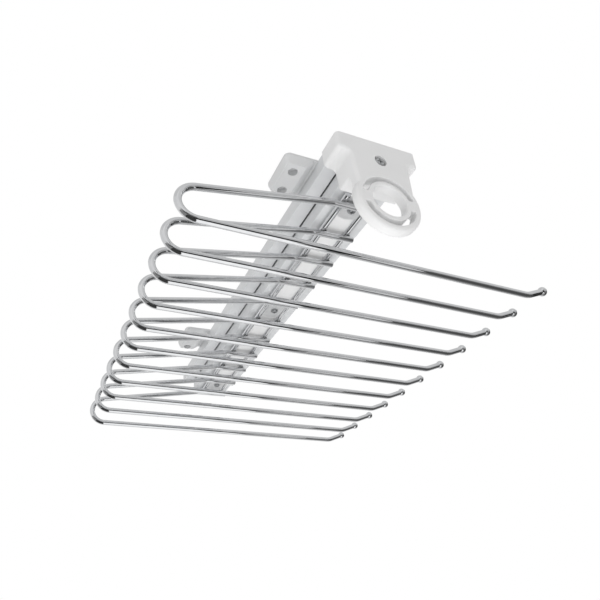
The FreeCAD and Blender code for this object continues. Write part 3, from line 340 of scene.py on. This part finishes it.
weld_skin, links, shader = new_finish("weld_skin", (0.42, 0.425, 0.43), 0.16, metallic=1.0)
spatter = grain(weld_skin, 520, detail=3)
scorch = grain(weld_skin, 380, detail=4)
links.new(tint(weld_skin, scorch, (0.14, 0.14, 0.145), (0.66, 0.665, 0.67)), shader.inputs["Base Color"])
links.new(spread(weld_skin, spatter, 0.10, 0.26), shader.inputs["Roughness"])
links.new(relief(weld_skin, spatter, 0.0006, 0.9), shader.inputs["Normal"])

WELD_WIDTH = 0.0076
WELD_RISE = 0.0013
WELD_SINK = 0.0003

bpy.ops.object.select_all(action="DESELECT")
bpy.ops.mesh.primitive_uv_sphere_add(segments=24, ring_count=12, radius=0.5)
pattern = bpy.context.active_object
pattern.scale = (WELD_WIDTH, WELD_WIDTH, WELD_RISE * 2)
bpy.ops.object.transform_apply(scale=True)
welds = []
for node in hangers:
    low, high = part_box(node)
    for rod in ("left_ladder_rod", "right_ladder_rod"):
        rod_low, rod_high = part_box(rod)
        place = ((rod_low.x + rod_high.x) / 2, (low.y + high.y) / 2, rod_low.z + WELD_SINK)
        welds.append(copy_to(pattern, place))
bpy.data.objects.remove(pattern)
bpy.ops.object.select_all(action="DESELECT")
for bead in welds:
    bead.select_set(True)
bpy.context.view_layer.objects.active = welds[0]
bpy.ops.object.join()
finish_piece("ladder_welds", weld_skin, "carriage", "chrome")


# ---- Rod bed and front cap
# White moulded plastic, semi-gloss.  The bed is a strip that cradles the rods along its edges.
# The cap closes the rail, hides the ladder's end and carries the ring that a finger pulls.

white, links, shader = new_finish("white_moulding", (0.78, 0.78, 0.78), 0.34)
skin = grain(white, 1100, detail=5)
flow = grain(white, 26, detail=2)
links.new(tint(white, flow, (0.765, 0.765, 0.765), (0.795, 0.795, 0.795)), shader.inputs["Base Color"])
links.new(spread(white, skin, 0.29, 0.40), shader.inputs["Roughness"])
links.new(relief(white, skin, 0.00002, 0.25), shader.inputs["Normal"])
for node in ("rod_bed", "front_cap"):
    wear(node, white)


# ---- Screw tabs
# Small steel plates with bowed ends, tacked between the rods, each with a screw hole.  They are
# plated with the ladder but stay dull where the welding heat has coloured the steel.

tab_steel, links, shader = new_finish("tab_steel", (0.74, 0.745, 0.75), 0.5, metallic=0.7)
heat = grain(tab_steel, 160, detail=5)
links.new(tint(tab_steel, heat, (0.70, 0.705, 0.71), (0.78, 0.785, 0.79)), shader.inputs["Base Color"])
links.new(spread(tab_steel, heat, 0.44, 0.58), shader.inputs["Roughness"])
links.new(relief(tab_steel, heat, 0.00004, 0.4), shader.inputs["Normal"])
for node in ("front_screw_tab", "middle_screw_tab", "rear_screw_tab"):
    wear(node, tab_steel)


# ---- Screws
# Zinc plated pan-head screws with a cross recess: one in the cap's recess, one in each tab.
# The flat-head screws of the ears lie under the rail's web.

screw_steel, links, shader = new_finish("screw_steel", (0.50, 0.51, 0.52), 0.3, metallic=1.0)
turning = grain(screw_steel, 900, detail=3)
links.new(tint(screw_steel, turning, (0.44, 0.45, 0.46), (0.56, 0.57, 0.58)), shader.inputs["Base Color"])
links.new(spread(screw_steel, turning, 0.24, 0.4), shader.inputs["Roughness"])
links.new(relief(screw_steel, turning, 0.00003, 0.4), shader.inputs["Normal"])
wear("ear_screws", screw_steel)

RECESS_WIDTH = 0.0009
RECESS_DEPTH = 0.0013
HEAD_ROUND = 0.8
FACES_UP = 0.99


def turn_screw(head_radius, head_height, shank_radius, shank_length, recess_length):
    """A pan-head screw along Z: its seat at the origin, its shank up, a cross cut in its head."""
    bpy.ops.object.select_all(action="DESELECT")
    bpy.ops.mesh.primitive_cylinder_add(vertices=48, radius=head_radius, depth=head_height,
                                        location=(0, 0, -head_height / 2))
    bpy.ops.object.transform_apply(location=True)
    screw = bpy.context.active_object
    bpy.ops.object.mode_set(mode="EDIT")
    pick_edges(screw, lambda point: abs(point.z + head_height) < SAME_PLACE)
    bpy.ops.mesh.bevel(offset=head_height * HEAD_ROUND, segments=6)
    bpy.ops.mesh.select_mode(type="FACE")
    bpy.ops.mesh.select_all(action="DESELECT")
    bpy.ops.object.mode_set(mode="OBJECT")
    for face in screw.data.polygons:
        face.select = face.normal.z > FACES_UP
    bpy.ops.object.mode_set(mode="EDIT")
    bpy.ops.mesh.inset(thickness=head_radius - shank_radius)
    bpy.ops.mesh.extrude_region_move(TRANSFORM_OT_translate={"value": (0, 0, shank_length)})
    bpy.ops.object.mode_set(mode="OBJECT")
    for size in ((recess_length, RECESS_WIDTH), (RECESS_WIDTH, recess_length)):
        bpy.ops.object.select_all(action="DESELECT")
        bpy.ops.mesh.primitive_cube_add(size=1, location=(0, 0, -head_height))
        cutter = bpy.context.active_object
        cutter.scale = (*size, RECESS_DEPTH * 2)
        bpy.ops.object.select_all(action="DESELECT")
        screw.select_set(True)
        bpy.context.view_layer.objects.active = screw
        recess = screw.modifiers.new("recess", "BOOLEAN")
        recess.operation = "DIFFERENCE"
        recess.solver = "EXACT"
        recess.object = cutter
        bpy.ops.object.modifier_apply(modifier="recess")
        bpy.data.objects.remove(cutter)
    return screw


TAB_SCREW_HEAD = 0.0038
TAB_SCREW_RISE = 0.0024
TAB_SCREW_SHANK = 0.002
TAB_SCREW_CROSS = 0.0042
FRONT_TAB_SCREW_BACK = 0.002

low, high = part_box("ladder_screws")
seat = low.z + TAB_SCREW_RISE
pattern = turn_screw(TAB_SCREW_HEAD, TAB_SCREW_RISE, TAB_SCREW_SHANK, high.z - seat, TAB_SCREW_CROSS)
screws = []
for tab, back in (("front_screw_tab", FRONT_TAB_SCREW_BACK),
                  ("middle_screw_tab", 0),
                  ("rear_screw_tab", 0)):
    tab_low, tab_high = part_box(tab)
    screws.append(copy_to(pattern, (0, (tab_low.y + tab_high.y) / 2 + back, seat)))
bpy.data.objects.remove(pattern)
for screw in screws:
    screw.select_set(True)
bpy.ops.object.join()
finish_piece("cross_recess_screws", screw_steel, "carriage", "screw_steel", "ladder_screws")

CAP_SCREW_RISE = 0.003
CAP_SCREW_SHANK = 0.0021
CAP_SCREW_CROSS = 0.0054

low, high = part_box("front_cap_screw")
screw = turn_screw((high.z - low.z) / 2, CAP_SCREW_RISE, CAP_SCREW_SHANK,
                   high.y - low.y - CAP_SCREW_RISE, CAP_SCREW_CROSS)
bpy.ops.object.mode_set(mode="EDIT")
bpy.ops.mesh.select_all(action="SELECT")
bpy.ops.transform.rotate(value=math.radians(90), orient_axis="X", center_override=(0, 0, 0))
bpy.ops.transform.translate(value=(0, low.y + CAP_SCREW_RISE, (low.z + high.z) / 2))
finish_piece("cross_recess_cap_screw", screw_steel, "carriage", "screw_steel", "front_cap_screw")


# ---- Studio
# A pale floor well below the rack and white surroundings.  Soft light comes up from the floor and
# from the left, with a lamp above.  Cards round the set are seen by glossy rays only, so that they
# draw the streaks in the chrome and leave the soft light on the plastic as it is.

FLOOR_DROP = 1.0
FLOOR_SIZE = 12

floor_finish, links, shader = new_finish("pale_floor", (0.86, 0.86, 0.86), 0.9)
mottle = grain(floor_finish, 3)
links.new(tint(floor_finish, mottle, (0.85, 0.85, 0.85), (0.87, 0.87, 0.87)), shader.inputs["Base Color"])
bpy.ops.mesh.primitive_plane_add(size=FLOOR_SIZE, location=(0, 0, -FLOOR_DROP))
floor = bpy.context.active_object
floor.name = "studio_floor"
floor.data.materials.append(floor_finish)

WORLD_LIGHT = 0.75
WORLD_SEEN = 1.0

world = bpy.data.worlds.new("studio_white")
bpy.context.scene.world = world
world.use_nodes = True
tree = world.node_tree
background = tree.nodes["Background"]
background.inputs["Color"].default_value = (1, 1, 1, 1)
rays = tree.nodes.new("ShaderNodeLightPath")
seen = tree.nodes.new("ShaderNodeMath")
seen.operation = "MAXIMUM"
tree.links.new(rays.outputs["Is Camera Ray"], seen.inputs[0])
tree.links.new(rays.outputs["Is Glossy Ray"], seen.inputs[1])
level = tree.nodes.new("ShaderNodeMapRange")
level.inputs["To Min"].default_value = WORLD_LIGHT
level.inputs["To Max"].default_value = WORLD_SEEN
tree.links.new(seen.outputs["Value"], level.inputs["Value"])
tree.links.new(level.outputs["Result"], background.inputs["Strength"])


def add_lamp(name, place, aim, size, power):
    """A round soft lamp that neither the camera nor a mirror sees."""
    lamp = bpy.data.lights.new(name, "AREA")
    lamp.shape = "DISK"
    lamp.size = size
    lamp.energy = power
    holder = bpy.data.objects.new(name, lamp)
    holder.location = place
    holder.rotation_euler = (Vector(aim) - Vector(place)).to_track_quat("-Z", "Y").to_euler()
    holder.visible_camera = False
    holder.visible_glossy = False
    bpy.context.scene.collection.objects.link(holder)


add_lamp("floor_lamp", (-0.15, -0.25, -0.95), (-0.15, -0.25, 0), size=1.8, power=8.0)
add_lamp("left_lamp", (-1.5, -0.4, -0.4), (0, 0, -0.05), size=0.9, power=1.2)
add_lamp("top_lamp", (0.5, 0.3, 1.3), (0, 0, 0), size=1.0, power=3.0)

CARD_THICKNESS = 0.01


def add_card(name, low, high, level, turn=0, right_level=None):
    """A flat card between two corners that only mirrors see, turned in degrees about its upright.

    It glows evenly, or fades along X from one level to the level at its right side.
    """
    finish, links, shader = new_finish(name, (0, 0, 0), 1.0)
    shader.inputs["Specular IOR Level"].default_value = 0
    shader.inputs["Emission Color"].default_value = (1, 1, 1, 1)
    shader.inputs["Emission Strength"].default_value = level
    if right_level is not None:
        place = finish.node_tree.nodes.new("ShaderNodeTexCoord")
        axes = finish.node_tree.nodes.new("ShaderNodeSeparateXYZ")
        fade = finish.node_tree.nodes.new("ShaderNodeMapRange")
        # The card's own coordinates run from -0.5 to 0.5 from side to side.
        for socket, value in (("From Min", -0.5), ("From Max", 0.5),
                              ("To Min", level), ("To Max", right_level)):
            fade.inputs[socket].default_value = value
        links.new(place.outputs["Object"], axes.inputs["Vector"])
        links.new(axes.outputs["X"], fade.inputs["Value"])
        links.new(fade.outputs["Result"], shader.inputs["Emission Strength"])
    low, high = Vector(low), Vector(high)
    bpy.ops.mesh.primitive_cube_add(size=1, location=(low + high) / 2,
                                    rotation=(0, 0, math.radians(turn)))
    card = bpy.context.active_object
    card.name = name
    card.scale = [max(side, CARD_THICKNESS) for side in high - low]
    card.data.materials.append(finish)
    card.visible_camera = False
    card.visible_diffuse = False
    card.visible_transmission = False
    card.visible_shadow = False


# Walls and ceiling of the set, from the left round to the right.
add_card("left_wall_card", (-3.5, -2.2, -0.9), (-3.5, 4.0, 3.0), 0.77)
add_card("far_left_front_card", (-3.5, -2.2, -0.95), (-2.2, -2.2, -0.1), 0.60)
add_card("left_front_low_card", (-2.2, -2.2, -0.95), (-0.15, -2.2, -0.1), 0.06)
add_card("front_left_card", (-3.5, -2.25, -0.1), (0.0, -2.25, 2.6), 0.82)
add_card("front_dark_card", (-0.65, -2.15, -0.4), (0.15, -2.15, 0.35), 0.20)
add_card("front_low_dark_card", (-0.15, -2.18, -0.97), (0.76, -2.18, -0.44), 0.03)
add_card("front_right_low_card", (1.5, -2.2, -0.97), (3.5, -2.2, -0.1), 0.15)
add_card("front_right_card", (0.0, -2.25, -0.5), (3.5, -2.25, 1.0), 0.53)
add_card("front_high_card", (0.0, -2.25, 1.0), (3.5, -2.25, 3.0), 0.70)
add_card("right_low_card", (3.45, -2.2, -0.97), (3.45, 2.0, 0.3), 0.04)
add_card("right_wall_card", (3.5, -2.2, -0.95), (3.5, 4.0, 2.2), 0.47)
add_card("ceiling_card", (-4.0, -4.0, 3.0), (4.0, 4.0, 3.0), 0.68)

# The set's floor, from the left to the right.  Where two cards cross, the higher one is seen.
add_card("far_left_floor_card", (-3.5, -2.2, -0.97), (-1.0, 0.7, -0.97), 0.26)
add_card("left_floor_card", (-1.0, -2.2, -0.97), (-0.14, 0.7, -0.97), 0.05)
add_card("bright_floor_card", (-0.1, -1.0, -0.965), (0.33, 0.5, -0.965), 1.15)
add_card("front_dark_band", (-0.3, -2.15, -0.955), (0.74, -1.0, -0.955), 0.03)
add_card("diagonal_dark_strip", (0.455, -1.62, -0.95), (0.595, -0.37, -0.95), 0.01, turn=21)
add_card("right_bright_strip", (0.61, -1.65, -0.96), (0.84, -0.35, -0.96), 0.75, turn=22)
add_card("front_right_floor_card", (0.875, -1.78, -0.97), (3.275, 0.12, -0.97), 0.08, turn=22)
add_card("right_floor_card", (0.34, -2.2, -0.98), (1.15, 0.2, -0.98), 0.24, right_level=0.10)
add_card("right_rear_floor_card", (0.36, 0.2, -0.98), (1.15, 0.9, -0.98), 0.70, right_level=0.22)
add_card("far_right_floor_card", (1.15, -2.2, -0.98), (3.5, 0.9, -0.98), 0.20)

camera_data = bpy.data.cameras.new("camera")
camera_data.sensor_width = 36
camera_data.lens = 33.87
camera = bpy.data.objects.new("camera", camera_data)
camera.location = (-0.22955, -0.49499, -0.35420)
camera.rotation_euler = [math.radians(angle) for angle in (122.2407, 5.8129, -25.2224)]
bpy.context.scene.collection.objects.link(camera)
bpy.context.scene.camera = camera
